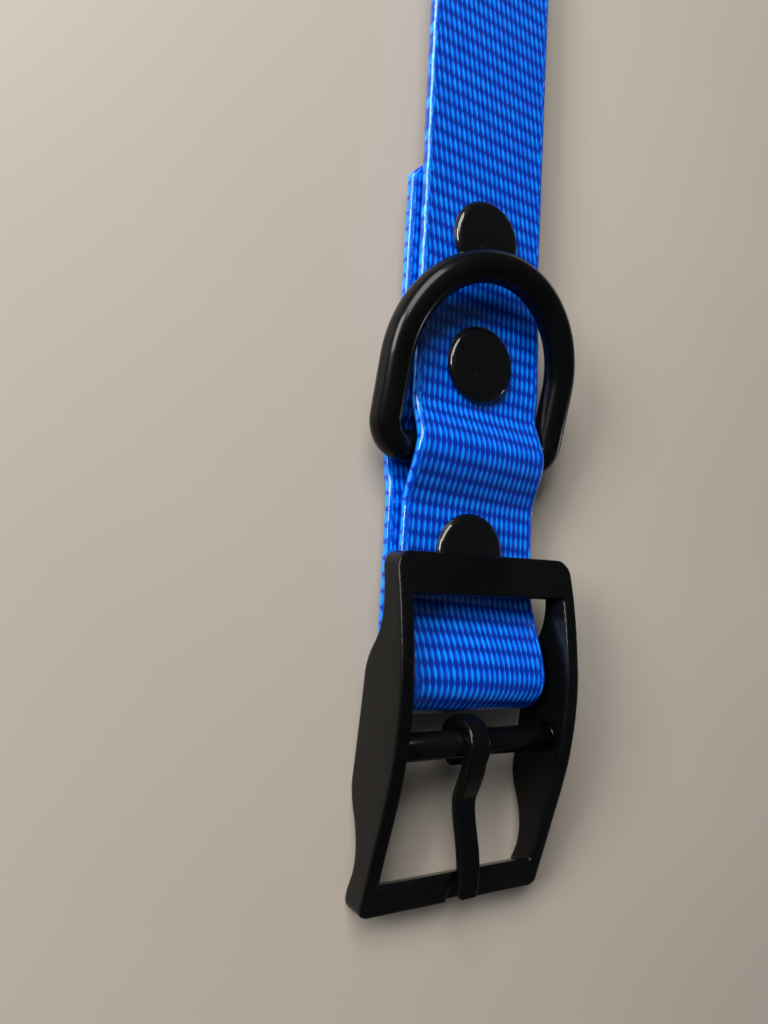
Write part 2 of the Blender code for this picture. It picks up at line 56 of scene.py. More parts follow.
# Strap, as in the solids. The layers don't lie exactly over each other: each offset is
# how far the middle of the front layer (face) or the back layer lies to the side
STRAP_WIDTH = 25.4 * MM
STRAP_WALL = 1.9 * MM
COLLAR_LENGTH = 520 * MM
STRAP_HEIGHT = 7.0 * MM
LIFT_OFF = 50 * MM
TOUCH_DOWN = 62 * MM
FACE_OFFSET = 0.4 * MM
LOW_FACE_OFFSET = 1.2 * MM
LOOP_FACE_OFFSET = 2.0 * MM
LOOP_BACK_OFFSET = -0.6 * MM
LOW_BACK_OFFSET = -1.8 * MM
BACK_OFFSET = -1.2 * MM
BACK_TAIL = 11.5 * MM
TAIL_CHAMFER = 2.6 * MM
LOOP_HEIGHT = 10.8 * MM
HOLE_COUNT = 7
HOLE_PITCH = 25 * MM
FIRST_HOLE = 60 * MM
HOLE_RADIUS = 2.45 * MM
HOLE_SIDES = 40

# Spread of the front layer's left and right edges at places along Y, in millimetres
SPREAD = (
    (-226, 1.5, 0.0),
    (-221, 1.8, 0.1),
    (-217, 1.5, 0.6),
    (-213, 1.5, 1.3),
    (-203, 1.5, 0.6),
    (-195, 1.3, 0.4),
    (-190, 1.2, 0.1),
    (-187, 1.1, 0.0),
    (-184, 0.6, 0.0),
    (-181, 0.1, 0.3),
    (-178, 0.0, 0.6),
    (-174, 0.0, 0.85),
    (-165, 0.0, 0.7),
    (-158, 0.0, 0.2),
    (-154, 0.0, 0.0),
)

# Weave: its floats lie in columns and rows that slant across the strap
WEAVE_COLUMNS = 22
WEAVE_COLUMN = 1.05 * MM
WEAVE_ROW = 2.65 * MM
ROW_SLANT = 0.085
FLOAT_SLANT = 0.166
SLANT_STOP = 414 * MM
SELVEDGE = 1.15 * MM

# Relief of the weave and the strap's rounded edges, as shares where no unit is given
WEAVE_RELIEF = 0.15 * MM
RELIEF_FULLNESS = 0.6
SELVEDGE_LEVEL = 0.55
EDGE_ROUND = 0.8 * MM
EDGE_DIP = 0.6
EDGE_WAVE = 0.06
TIP_START = 0.004

# Points of the webbing's meshes
CELLS_ACROSS = 4
BACK_CELLS = 2
TAIL_BACK_CELLS = 3
SPARE_POINTS = 5
CELLS_ALONG = 6
FREE_CELLS_ALONG = 4
EDGE_CELLS = 6
FOLD_STEPS = 120

# Yarn colours. A float's half width and length are shares of its cell, a step is soft
# from low to high, and a tone is (gain, base) on the ramp of blues
DASH_WIDTH = 0.43
DASH_TIP_WIDTH = 0.05
DASH_LENGTH = 0.43
DASH_TAPER = 1.8
DASH_STEP = (-0.5, 0.7)
# The crest step and gain make the middle of each float lighter, as a painted highlight
CREST_HIGHLIGHT_STEP = (0.45, 0.95)
BLOTCH_STEP = (0.40, 0.66)
SELVEDGE_STEP = (-0.1 * MM, 0.2 * MM)
FLOAT_TONE = (0.14, 0.58)
EDGE_YARN_TONE = (0.75, 0.22)
FIBRE_TONE = (0.24, -0.10)
# Painted highlight on the float crests
CREST_HIGHLIGHT_GAIN = 0.26
FIBRE_SCALE = (5200, 420, 1)
BLOTCH_SCALE = 620.0
SIDE_SPACING = 0.01
DASH_HEIGHT = 0.8
FIBRE_HEIGHT = 0.25
YARN_BUMP = 0.05 * MM
YARN_STRENGTH = 0.55
COAT_STRENGTH = 0.30

# Colour ramps as stops of (place, colour)
WEBBING_BLUES = (
    (0.00, (0.0, 0.016, 0.30)),
    (0.30, (0.0, 0.032, 0.42)),
    (0.62, (0.0, 0.085, 0.68)),
    (1.00, (0.0, 0.310, 0.98)),
)
SATIN_BLACKS = ((0.35, (0.0014, 0.0015, 0.0017)), (0.7, (0.0027, 0.0028, 0.0031)))
GLOSS_BLACKS = ((0.6, (0.0012, 0.0012, 0.0016)), (0.85, (0.006, 0.006, 0.007)))
FLOOR_GREYS = ((0.3, (0.42, 0.375, 0.32)), (0.7, (0.47, 0.425, 0.37)))

# Metal finishes: each satin one as its roughness, its grain's scale and its grain's depth
CAST_FINISH = (0.31, 2600.0, 0.012 * MM)
WIRE_FINISH = (0.24, 1800.0, 0.006 * MM)
SATIN_SPREAD = 0.06
GRAIN_STRENGTH = 0.6
ENAMEL_WAVE = 0.02 * MM
ENAMEL_STRENGTH = 0.3

# Rivets. The caps on the face are lower than the back caps, and flatter
CAP_RADIUS = 6.65 * MM
CAP_TOP = 1.42 * MM
CAP_CROWN = 0.3 * MM
CAP_SHOULDER = 1.25 * MM
CAP_HEIGHT = 1.8 * MM
BACK_CROWN = 0.5 * MM
POST_RADIUS = 1.5 * MM
RIVET_STEPS = (0, 21.9 * MM, 53.8 * MM)
CROWN_STEPS = 16
SHOULDER_STEPS = 12

# D-ring
RING_WIRE = 2.7 * MM
RING_HALF_WIDTH = 16.9 * MM
RING_LEG = 13.6 * MM
RING_ARCH = 17.7 * MM
RING_CORNER = 4.3 * MM
RING_SHIFT = -0.1 * MM
RING_STEP = 15.2 * MM
RING_TILT = math.radians(13.8)
CORNER_STEPS = 12
ARCH_STEPS = 64
WIRE_RESOLUTION = 8

# Bars, with a groove where each enters its rail
BAR_RADIUS = 2.2 * MM
BAR_CHAMFER = 0.25 * MM
GROOVE_INSET = 1.4 * MM
GROOVE = 0.12 * MM

# Turned and cast meshes
TURNED_SIDES = 120
BAR_SIDES = 56
SHARP_EDGE = math.radians(50)
MERGE_DISTANCE = 0.001 * MM
FRAME_VOXEL = 0.24 * MM
FRAME_PASSES = 3
TONGUE_VOXEL = 0.15 * MM
TONGUE_PASSES = 14
SOFTENING = 0.5

# Camera that the photo was taken with, fitted to the rivets, bars and strap edges
CAMERA_PLACE = (-0.07816, -0.20602, 0.11038)
CAMERA_ROWS = (
    (0.8574, -0.0852, -0.5075),
    (0.0553, 0.9957, -0.0737),
    (0.5116, 0.0351, 0.8585),
)
CAMERA_LENS = 27.07
SENSOR = 36.0
NEAR_CLIP = 0.002

# Studio: the floor, an even surround, and lights as name, place, target, size, watts, colour
FLOOR_SIZE = 6.0
FLOOR_LEVEL = -0.02 * MM
SURROUND_COLOUR = (0.9, 0.92, 1.0, 1.0)
SURROUND_STRENGTH = 0.08
LIGHTS = (
    ("key", (-0.62, 0.0, 0.31), (0, -0.16, 0), (0.34, 0.22), 4.6, (1.0, 0.99, 0.97)),
    ("back", (-0.45, 0.47, 0.60), (0.02, -0.10, 0), (0.66, 0.50), 11.8, (1.0, 0.985, 0.955)),
    ("right", (0.85, -0.25, 0.16), (0, -0.18, 0), (0.07, 0.03), 0.25, (0.90, 0.95, 1.0)),
)

# Places and middle heights of the layers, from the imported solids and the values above
HALF_WIDTH = STRAP_WIDTH / 2
HALF_WALL = STRAP_WALL / 2
TIP_Y = COLLAR_LENGTH / 2
FIRST_RIVET = sum(corner.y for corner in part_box("rivet_cap_1")) / 2
RIVET_Y = [FIRST_RIVET - step for step in RIVET_STEPS]
RING_Y = RIVET_Y[1] - RING_STEP
CAP_SEAT = CAP_RADIUS + GAP
TOUCH_Y = FIRST_RIVET + LIFT_OFF + TOUCH_DOWN
TAIL_Y = FIRST_RIVET + BACK_TAIL
LOOP_RADIUS = LOOP_HEIGHT / 2 - HALF_WALL
TABLE_MID = HALF_WALL
FLAT_MID = STRAP_HEIGHT - HALF_WALL
FLAT_BACK_MID = FLAT_MID - STRAP_WALL - LAYER_GAP
LOW_BACK_MID = LIFT + CAP_HEIGHT + GAP + HALF_WALL
LOW_MID = LOW_BACK_MID + STRAP_WALL + LAYER_GAP
RING_BACK_MID = LIFT + HALF_WALL
RING_Z = RING_BACK_MID + HALF_WALL + GAP + RING_WIRE
RING_MID = RING_Z + RING_WIRE + GAP + HALF_WALL
LOOP_BACK_MID = LIFT + HALF_WALL
LOOP_Z = LOOP_BACK_MID + LOOP_RADIUS
LOOP_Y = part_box("strap_folded_end")[0].y + HALF_WALL + LOOP_RADIUS


def add_object(name, data):
    """An object in the scene."""
    obj = bpy.data.objects.new(name, data)
    bpy.context.scene.collection.objects.link(obj)
    return obj


def set_material(obj, material):
    """One material all over an object."""
    obj.data.materials.clear()
    obj.data.materials.append(material)


def bake_modifiers(obj):
    """Apply an object's modifiers to its mesh."""
    bpy.context.view_layer.update()
    depsgraph = bpy.context.evaluated_depsgraph_get()
    mesh = bpy.data.meshes.new_from_object(obj.evaluated_get(depsgraph))
    obj.modifiers.clear()
    obj.data = mesh


# Camera, lights and floor


def add_camera():
    """The camera at the photo's place."""
    data = bpy.data.cameras.new("camera")
    data.lens = CAMERA_LENS
    data.sensor_width = SENSOR
    data.clip_start = NEAR_CLIP
    camera = add_object("camera", data)
    turn = Matrix(CAMERA_ROWS).to_4x4()
    camera.matrix_world = Matrix.Translation(CAMERA_PLACE) @ turn
    bpy.context.scene.camera = camera


def add_softbox(name, place, target, size, power, colour):
    """A soft rectangular light aimed at a point."""
    data = bpy.data.lights.new(name, "AREA")
    data.shape = "RECTANGLE"
    data.size, data.size_y = size
    data.energy = power
    data.color = colour
    light = add_object(name, data)
    light.location = place
    aim = Vector(target) - Vector(place)
    light.rotation_euler = aim.to_track_quat("-Z", "Y").to_euler()


def add_studio():
    """Pale floor, soft lights and an even surround."""
    bpy.ops.mesh.primitive_plane_add(size=FLOOR_SIZE, location=(0, 0, FLOOR_LEVEL))
    floor = bpy.context.object
    floor.name = "floor"
    floor.data.materials.append(floor_material())
    for light in LIGHTS:
        add_softbox(*light)
    world = bpy.data.worlds.new("surround")
    world.use_nodes = True
    background = world.node_tree.nodes["Background"]
    set_inputs(background, Color=SURROUND_COLOUR, Strength=SURROUND_STRENGTH)
    bpy.context.scene.world = world
    bpy.context.scene.view_settings.view_transform = "Standard"


# Materials


def new_material(name):
    """A material with its node tree and its Principled shader."""
    material = bpy.data.materials.new(name)
    material.use_nodes = True
    tree = material.node_tree
    return material, tree, tree.nodes["Principled BSDF"]


def set_inputs(node, **inputs):
    """Set a node's unlinked inputs by name, with _ for a space."""
    for name, value in inputs.items():
        node.inputs[name.replace("_", " ")].default_value = value


def add_node(tree, kind, settings=None, **inputs):
    """A node with its settings and its unlinked inputs."""
    node = tree.nodes.new(kind)
    for name, value in (settings or {}).items():
        setattr(node, name, value)
    set_inputs(node, **inputs)
    return node


def add_noise(tree, vector, **inputs):
    """A noise texture over a vector, as its output."""
    noise = add_node(tree, "ShaderNodeTexNoise", **inputs)
    tree.links.new(vector, noise.inputs["Vector"])
    return noise.outputs["Fac"]


def add_ramp(tree, source, stops):
    """A colour ramp over a value, with stops of (place, colour)."""
    ramp = tree.nodes.new("ShaderNodeValToRGB")
    elements = ramp.color_ramp.elements
    while len(elements) < len(stops):
        elements.new(1.0)
    for element, (place, colour) in zip(elements, stops):
        element.position = place
        element.color = (*colour, 1.0)
    tree.links.new(source, ramp.inputs["Fac"])
    return ramp.outputs["Color"]


def add_bump(tree, shader, height, distance, strength, socket="Normal"):
    """A bump from a height, for the base or the clear coat."""
    bump = add_node(tree, "ShaderNodeBump", Distance=distance, Strength=strength)
    tree.links.new(height, bump.inputs["Height"])
    tree.links.new(bump.outputs["Normal"], shader.inputs[socket])


def add_math(tree, operation, *values):
    """A maths node over numbers and sockets, as its output."""
    node = add_node(tree, "ShaderNodeMath", {"operation": operation})
    for socket, value in zip(node.inputs, values):
        if isinstance(value, (int, float)):
            socket.default_value = value
        else:
            tree.links.new(value, socket)
    return node.outputs[0]


def add_soft_step(tree, value, low, high):
    """A smooth step of a value, 0 at low and 1 at high."""
    smooth = {"interpolation_type": "SMOOTHSTEP"}
    node = add_node(tree, "ShaderNodeMapRange", smooth, From_Min=low, From_Max=high)
    tree.links.new(value, node.inputs["Value"])
    return node.outputs["Result"]


def floor_material():
    """Smooth pale surface with faint variation."""
    material, tree, shader = new_material("pale_surface")
    place = tree.nodes.new("ShaderNodeTexCoord").outputs["Object"]
    noise = add_noise(tree, place, Scale=5.0, Detail=3.0)
    tree.links.new(add_ramp(tree, noise, FLOOR_GREYS), shader.inputs["Base Color"])
    set_inputs(shader, Roughness=0.38)
    return material


def add_floats(tree, across, along):
    """The spindle-shaped yarn floats: their body, their crest, which gets a painted highlight,
    and a chance for each.
    """
    stopped = add_math(tree, "MINIMUM", along, SLANT_STOP)
    slant = add_math(tree, "MULTIPLY", stopped, FLOAT_SLANT)
    column = add_math(tree, "DIVIDE", add_math(tree, "SUBTRACT", across, slant), WEAVE_COLUMN)
    fall = add_math(tree, "MULTIPLY", across, ROW_SLANT)
    row = add_math(tree, "DIVIDE", add_math(tree, "SUBTRACT", along, fall), WEAVE_ROW)
    cell = add_node(tree, "ShaderNodeCombineXYZ")
    tree.links.new(add_math(tree, "ROUND", column), cell.inputs[0])
    tree.links.new(add_math(tree, "ROUND", row), cell.inputs[1])
    chance = add_node(tree, "ShaderNodeTexWhiteNoise", {"noise_dimensions": "3D"})
    tree.links.new(cell.outputs[0], chance.inputs["Vector"])
    off_column = add_math(tree, "ABSOLUTE", add_math(tree, "WRAP", column, 0.5, -0.5))
    off_row = add_math(tree, "ABSOLUTE", add_math(tree, "WRAP", row, 0.5, -0.5))
    reach = add_math(tree, "MINIMUM", add_math(tree, "DIVIDE", off_row, DASH_LENGTH), 1.0)
    waist = add_math(tree, "SUBTRACT", 1.0, add_math(tree, "POWER", reach, DASH_TAPER))
    half = add_math(tree, "MULTIPLY_ADD", waist, DASH_WIDTH, DASH_TIP_WIDTH)
    inside = add_math(tree, "SUBTRACT", 1.0, add_math(tree, "DIVIDE", off_column, half))
    dash = add_soft_step(tree, inside, *DASH_STEP)
    # Middle of each float, where the colour carries a painted highlight
    crest_highlight = add_soft_step(tree, inside, *CREST_HIGHLIGHT_STEP)
    return dash, crest_highlight, chance.outputs["Value"]


def webbing_material():
    """Blue yarn floats in slanting rows, with a painted highlight along each float's crest, under
    a clear glossy coating.

    The attribute place holds the distance across and along the strap and the side.
    """
    material, tree, shader = new_material("coated_blue_webbing")
    place = add_node(tree, "ShaderNodeAttribute", {"attribute_name": "place"}).outputs["Vector"]
    split = add_node(tree, "ShaderNodeSeparateXYZ")
    tree.links.new(place, split.inputs[0])
    across, along, _ = split.outputs
    dash, crest_highlight, chance = add_floats(tree, across, along)

    stretch = add_node(tree, "ShaderNodeMapping", Scale=FIBRE_SCALE)
    tree.links.new(place, stretch.inputs["Vector"])
    fibres = add_noise(tree, stretch.outputs["Vector"], Scale=1.0, Detail=2.0)
    patches = add_noise(tree, place, Scale=BLOTCH_SCALE, Detail=3.0)
    blotches = add_soft_step(tree, patches, *BLOTCH_STEP)

    # Edge yarns run along the strap, beyond the slanting floats
    from_middle = add_math(tree, "ABSOLUTE", across)
    low, high = [HALF_WIDTH - SELVEDGE + shift for shift in SELVEDGE_STEP]
    edge = add_soft_step(tree, from_middle, low, high)
    edge_yarn = add_math(tree, "MULTIPLY_ADD", blotches, *EDGE_YARN_TONE)
    bright = add_math(tree, "MULTIPLY_ADD", chance, *FLOAT_TONE)
    body = add_math(tree, "MULTIPLY", dash, bright)
    # Painted highlight: the crest of each float is made lighter than its body
    highlighted = add_math(tree, "MULTIPLY_ADD", crest_highlight, CREST_HIGHLIGHT_GAIN, body)
    value = add_node(tree, "ShaderNodeMix", {"data_type": "FLOAT"})
    for name, source in (("Factor", edge), ("A", highlighted), ("B", edge_yarn)):
        tree.links.new(source, value.inputs[name])
    fibre_tone = add_math(tree, "MULTIPLY_ADD", fibres, *FIBRE_TONE)
    tone = add_math(tree, "ADD", value.outputs[0], fibre_tone)
    tree.links.new(add_ramp(tree, tone, WEBBING_BLUES), shader.inputs["Base Color"])

    # The base tints its gloss blue, and the clear coat lies over it
    set_inputs(
        shader,
        Roughness=0.36,
        Specular_IOR_Level=1.0,
        Specular_Tint=(0.10, 0.60, 1.0, 1.0),
        Coat_Weight=0.9,
        Coat_Roughness=0.05,
        Coat_IOR=1.45,
    )
    raised = add_math(tree, "MULTIPLY", dash, DASH_HEIGHT)
    fine = add_math(tree, "MULTIPLY", fibres, FIBRE_HEIGHT)
    add_bump(tree, shader, add_math(tree, "ADD", raised, fine), YARN_BUMP, YARN_STRENGTH)
    add_bump(tree, shader, dash, YARN_BUMP, COAT_STRENGTH, "Coat Normal")
    return material


def satin_material(name, roughness, grain, distance):
    """Satin black coating on metal, with a fine grain and faint rubbed patches."""
    material, tree, shader = new_material(name)
    place = tree.nodes.new("ShaderNodeTexCoord").outputs["Object"]
    fine = add_noise(tree, place, Scale=grain, Detail=2.0, Roughness=0.6)
    broad = add_noise(tree, place, Scale=90.0, Detail=4.0)
    tree.links.new(add_ramp(tree, broad, SATIN_BLACKS), shader.inputs["Base Color"])
    set_inputs(shader, Specular_IOR_Level=0.1, Coat_Weight=0.16, Coat_Roughness=0.09)
    low, high = roughness - SATIN_SPREAD, roughness + SATIN_SPREAD
    rough = add_node(tree, "ShaderNodeMapRange", To_Min=low, To_Max=high)
    tree.links.new(broad, rough.inputs["Value"])
    tree.links.new(rough.outputs["Result"], shader.inputs["Roughness"])
    add_bump(tree, shader, fine, distance, GRAIN_STRENGTH)
    return material


def gloss_material():
    """Gloss black enamel on the rivets, with faint waviness and specks."""
    material, tree, shader = new_material("gloss_black_enamel")
    place = tree.nodes.new("ShaderNodeTexCoord").outputs["Object"]
    wave = add_noise(tree, place, Scale=260.0, Detail=2.0)
    specks = add_noise(tree, place, Scale=900.0, Detail=1.0)
    tree.links.new(add_ramp(tree, specks, GLOSS_BLACKS), shader.inputs["Base Color"])
    set_inputs(shader, Roughness=0.32, Specular_IOR_Level=0.1)
    set_inputs(shader, Coat_Weight=0.8, Coat_Roughness=0.03)
    add_bump(tree, shader, wave, ENAMEL_WAVE, ENAMEL_STRENGTH)
    return material


# Webbing


def ease(share):
    """From 0 to 1 with level ends."""
    return share * share * (3 - 2 * share)


def spans(places, per_mm=8):
    """Eased rows of (x, y, z) between places, closely sampled."""
    rows = []
    for place_a, place_b in zip(places, places[1:]):
        start = np.array(place_a)
        ahead = np.array(place_b) - start
        steps = max(2, int(abs(ahead[1]) / MM * per_mm))
        share = np.arange(steps)[:, None] / steps
        eased = ease(share)
        rows.append(start + ahead * np.hstack((eased, share, eased)))
    rows.append(np.array([places[-1]]))
    return np.concatenate(rows)


def front_line():
    """Middle line of the front layer and the fold, from the surface to the fold's foot."""
    line = spans(
        (
            (0.0, TOUCH_Y, TABLE_MID),
            (0.0, FIRST_RIVET + LIFT_OFF, FLAT_MID),
            (FACE_OFFSET, RIVET_Y[1] - CAP_SEAT, FLAT_MID),
            ((FACE_OFFSET + LOW_FACE_OFFSET) / 2, RING_Y, RING_MID),
            (LOW_FACE_OFFSET, RIVET_Y[2] + CAP_SEAT, LOW_MID),
            (LOW_FACE_OFFSET, RIVET_Y[2] - CAP_SEAT, LOW_MID),
            (LOOP_FACE_OFFSET, LOOP_Y, LOOP_Z + LOOP_RADIUS),
        )
    )
    share = np.arange(1, FOLD_STEPS + 1) / FOLD_STEPS
    turn = math.pi * share
    fold = np.column_stack(
        (
            LOOP_FACE_OFFSET + (LOOP_BACK_OFFSET - LOOP_FACE_OFFSET) * ease(share),
            LOOP_Y - LOOP_RADIUS * np.sin(turn),
            LOOP_Z + LOOP_RADIUS * np.cos(turn),
        )
    )
    return np.concatenate((line, fold))


def back_line():
    """Middle line of the back layer, from the fold's foot to its tail."""
    return spans(
        (
            (LOOP_BACK_OFFSET, LOOP_Y, LOOP_BACK_MID),
            (LOW_BACK_OFFSET, RIVET_Y[2] - CAP_SEAT, LOW_BACK_MID),
            (LOW_BACK_OFFSET, RIVET_Y[2] + CAP_SEAT, LOW_BACK_MID),
            ((LOW_BACK_OFFSET + BACK_OFFSET) / 2, RING_Y, RING_BACK_MID),
            (BACK_OFFSET, RIVET_Y[1] - CAP_SEAT, FLAT_BACK_MID),
            (BACK_OFFSET, TAIL_Y, FLAT_BACK_MID),
        )
    )


def free_line():
    """Middle line of the flat free end, from its tip to where it leaves the surface."""
    return spans(((0.0, TIP_Y, TABLE_MID), (0.0, TOUCH_Y, TABLE_MID)), per_mm=2)


def resample(line, step):
    """Points at an even arc length along a line, with that length."""
    ahead = np.linalg.norm(np.diff(line, axis=0), axis=1)
    length = np.concatenate(([0], np.cumsum(ahead)))
    count = max(2, int(round(length[-1] / step)))
    even = np.linspace(0, length[-1], count + 1)
    return np.column_stack([np.interp(even, length, line[:, k]) for k in range(3)]), even


def section(cells_back):
    """Points round the section: across, side (1 face, 0 edge, -1 back) and the edge's turn."""
    flat = HALF_WIDTH - EDGE_ROUND
    top = np.linspace(-flat, flat, WEAVE_COLUMNS * CELLS_ACROSS + SPARE_POINTS)
    back = np.linspace(flat, -flat, WEAVE_COLUMNS * cells_back + SPARE_POINTS)
    turns = np.linspace(math.pi / 2, -math.pi / 2, EDGE_CELLS + 1)[1:-1]
    rows = [(x, 1, math.pi / 2) for x in top]
    rows += [(flat, 0, turn) for turn in turns]
    rows += [(x, -1, -math.pi / 2) for x in back]
    rows += [(-flat, 0, math.pi - turn) for turn in turns[::-1]]
    return np.array(rows)


def dash_relief(across, along):
    """Height of the woven floats, 0 to 1, at places across and along the webbing."""
    column = (across - FLOAT_SLANT * np.minimum(along, SLANT_STOP)) / WEAVE_COLUMN
    row = (along - ROW_SLANT * across) / WEAVE_ROW
    ridge = 0.5 + 0.5 * np.cos(2 * math.pi * column)
    body = (0.5 + 0.5 * np.cos(2 * math.pi * row)) ** RELIEF_FULLNESS
    return np.where(np.abs(across) < HALF_WIDTH - SELVEDGE, ridge * body, SELVEDGE_LEVEL)


def full_width(length):
    """Half the strap's width, everywhere."""
    return np.full(length.shape, HALF_WIDTH)


def tip_width(length):
    """Half the strap's width at a length from its rounded tip."""
    reach = np.clip(length, HALF_WIDTH * TIP_START, HALF_WIDTH)
    return np.sqrt(HALF_WIDTH**2 - (HALF_WIDTH - reach) ** 2)


def tail_width(total):
    """Half the strap's width along the back layer, whose tail has cut corners."""

    def width(length):
        return HALF_WIDTH - np.clip(length - (total - TAIL_CHAMFER), 0, TAIL_CHAMFER)

    return width


def no_spread(points):
    """No spread of either edge."""
    return 0.0, 0.0


def fold_spread(points):
    """How far the left and right edges spread where the webbing is pressed flat and folded."""
    places, left, right = np.array(SPREAD).T * MM
    y_place = points[:, 1]
    fade = np.clip((points[:, 2] - LOOP_BACK_MID) / (2 * LOOP_RADIUS), 0, 1)
    fade = np.where(y_place < LOOP_Y, ease(fade), 1.0)
    return [fade * np.interp(y_place, places, side) for side in (left, right)]


def tube_faces(rows, around, ends):
    """Faces of a tube with rows of points around it, and the ends that are closed."""
    index = np.arange(rows * around).reshape(rows, around)
    near = index[:-1]
    far = index[1:]
    quads = np.stack((near, far, np.roll(far, -1, 1), np.roll(near, -1, 1)), -1)
    faces = [tuple(quad) for quad in quads.reshape(-1, 4).tolist()]
    if ends[0]:
        faces.append(tuple(index[0].tolist()))
    if ends[1]:
        faces.append(tuple(index[-1][::-1].tolist()))
    return faces


def build_webbing(name, line, start, step, cells_back, half_width, ends, edges=no_spread):
    """A stretch of woven webbing along a line, and the weave's length at its end.

    start is the weave's length at the line's start, half_width gives the strap's half
    width at each length, ends says which ends are closed, and edges gives the spread of
    the left and right edges at each point.
    """
    points, length = resample(line, step)
    across, side, turn = section(cells_back).T
    along = start + length
    tangent = np.gradient(points, axis=0)
    tangent[:, 0] = 0
    tangent /= np.linalg.norm(tangent, axis=1)[:, None]
    # The line runs towards -Y on the face, so the tangent turned a quarter points outwards
    normal = np.column_stack((np.zeros(len(tangent)), tangent[:, 2], -tangent[:, 1]))

    # Heights over the middle line: the relief on both sides, and the round edges
    relief = dash_relief(across[None, :], along[:, None])
    level = HALF_WALL - WEAVE_RELIEF * (1 - relief)
    rim = np.sign(np.sin(turn)) * (HALF_WALL - EDGE_ROUND)
    rim = rim + (EDGE_ROUND - WEAVE_RELIEF * EDGE_DIP) * np.sin(turn)
    height = np.where(side == 0, rim, 0)[None, :] + side[None, :] * level

    # Places across: the edge yarns make a fine wave, and the edges may spread
    wave = 0.5 + 0.5 * np.sin(2 * math.pi * along / WEAVE_ROW)
    swell = 1 - EDGE_WAVE * (1 - wave[:, None]) * (side == 0)[None, :]
    edge = EDGE_ROUND * np.cos(turn)
    width = half_width(length) / HALF_WIDTH
    x_local = (across[None, :] + edge[None, :] * swell) * width[:, None]
    left, right = [np.reshape(spread, (-1, 1)) / HALF_WIDTH for spread in edges(points)]
    x_local = x_local * (1 + np.where(x_local < 0, left, right))
    xyz = points[:, None, :] + normal[:, None, :] * height[:, :, None]
    xyz[:, :, 0] += x_local

    mesh = bpy.data.meshes.new(name)
    mesh.from_pydata(xyz.reshape(-1, 3).tolist(), [], tube_faces(*relief.shape, ends))
    spot = np.broadcast_arrays(
        (across + edge * np.sign(across))[None, :], along[:, None], side[None, :] * SIDE_SPACING
    )
    place = mesh.attributes.new("place", "FLOAT_VECTOR", "POINT")
    place.data.foreach_set("vector", np.stack(spot, -1).ravel())
    obj = add_object(name, mesh)
    shape = bmesh.new()
    shape.from_mesh(mesh)
    bmesh.ops.recalc_face_normals(shape, faces=shape.faces)
    shape.to_mesh(mesh)
    shape.free()
    mesh.shade_smooth()
    return obj, along[-1]


def punch(obj, holes):
    """Round holes through a piece of webbing."""
    cutters = []
    for place in holes:
        bpy.ops.mesh.primitive_cylinder_add(
            vertices=HOLE_SIDES, radius=HOLE_RADIUS, depth=STRAP_WALL * 4, location=place
        )
        cutters.append(bpy.context.object)
    bpy.ops.object.select_all(action="DESELECT")
    for cutter in cutters:
        cutter.select_set(True)
    bpy.context.view_layer.objects.active = cutters[0]
    bpy.ops.object.join()
    cutter = bpy.context.object
    modifier = obj.modifiers.new("holes", "BOOLEAN")
    modifier.operation = "DIFFERENCE"
    modifier.solver = "EXACT"
    modifier.object = cutter
    bake_modifiers(obj)
    bpy.data.objects.remove(cutter, do_unlink=True)


def add_webbing():
    """The strap: its free end, its front layer with the fold, and its back layer."""
    material = webbing_material()
    free_step = WEAVE_ROW / FREE_CELLS_ALONG
    step = WEAVE_ROW / CELLS_ALONG
    free, along = build_webbing(
        "webbing_free_end", free_line(), 0, free_step, BACK_CELLS, tip_width, (True, False)
    )
    holes = [TIP_Y - FIRST_HOLE - number * HOLE_PITCH for number in range(HOLE_COUNT)]
    punch(free, [(0, y_place, TABLE_MID) for y_place in holes])
    front, along = build_webbing(
        "webbing_front_and_fold",
        front_line(),
        along,
        step,
        BACK_CELLS,
        full_width,
        (False, False),
        fold_spread,
    )
    tail = back_line()
    total = np.linalg.norm(np.diff(tail, axis=0), axis=1).sum()
    back, _ = build_webbing(
        "webbing_back_layer", tail, along, step, TAIL_BACK_CELLS, tail_width(total), (False, True)
    )
    for piece in (free, front, back):
        set_material(piece, material)
        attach(piece, "collar")
    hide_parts("strap_free_end")
    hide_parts("strap_folded_end")
    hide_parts("strap_folded_end")


# Metal pieces


def lathe(name, profile, sides=TURNED_SIDES):
    """A turned mesh about Z from a profile of (radius, height)."""
    shape = bmesh.new()
    last = None
    for radius, height in profile:
        vert = shape.verts.new((radius, 0, height))
        if last:
            shape.edges.new((last, vert))
        last = vert
    bmesh.ops.spin(
        shape,
        geom=list(shape.verts) + list(shape.edges),
        cent=(0, 0, 0),
        axis=(0, 0, 1),
        angle=2 * math.pi,
        steps=sides,
        use_duplicate=False,
    )
    bmesh.ops.remove_doubles(shape, verts=shape.verts, dist=MERGE_DISTANCE)
    bmesh.ops.recalc_face_normals(shape, faces=shape.faces)
    mesh = bpy.data.meshes.new(name)
    shape.to_mesh(mesh)
    shape.free()
    mesh.shade_smooth()
    mesh.set_sharp_from_angle(angle=SHARP_EDGE)
    return add_object(name, mesh)


def cap_outline(top, crown):
    """Outline of a low domed cap with a round shoulder, from its top centre to its foot."""
    reach = CAP_RADIUS - CAP_SHOULDER
    outline = []
    for step in range(CROWN_STEPS + 1):
        share = step / CROWN_STEPS
        outline.append((reach * share, top - crown * share * share))
    lean = math.atan(2 * crown / reach)
    for step in range(1, SHOULDER_STEPS + 1):
        turn = lean + (math.pi / 2 - lean) * step / SHOULDER_STEPS
        wide = (math.sin(turn) - math.sin(lean)) / (1 - math.sin(lean))
        deep = 1 - math.cos(turn) / math.cos(lean)
        outline.append((reach + CAP_SHOULDER * wide, (top - crown) * (1 - deep)))
    return outline


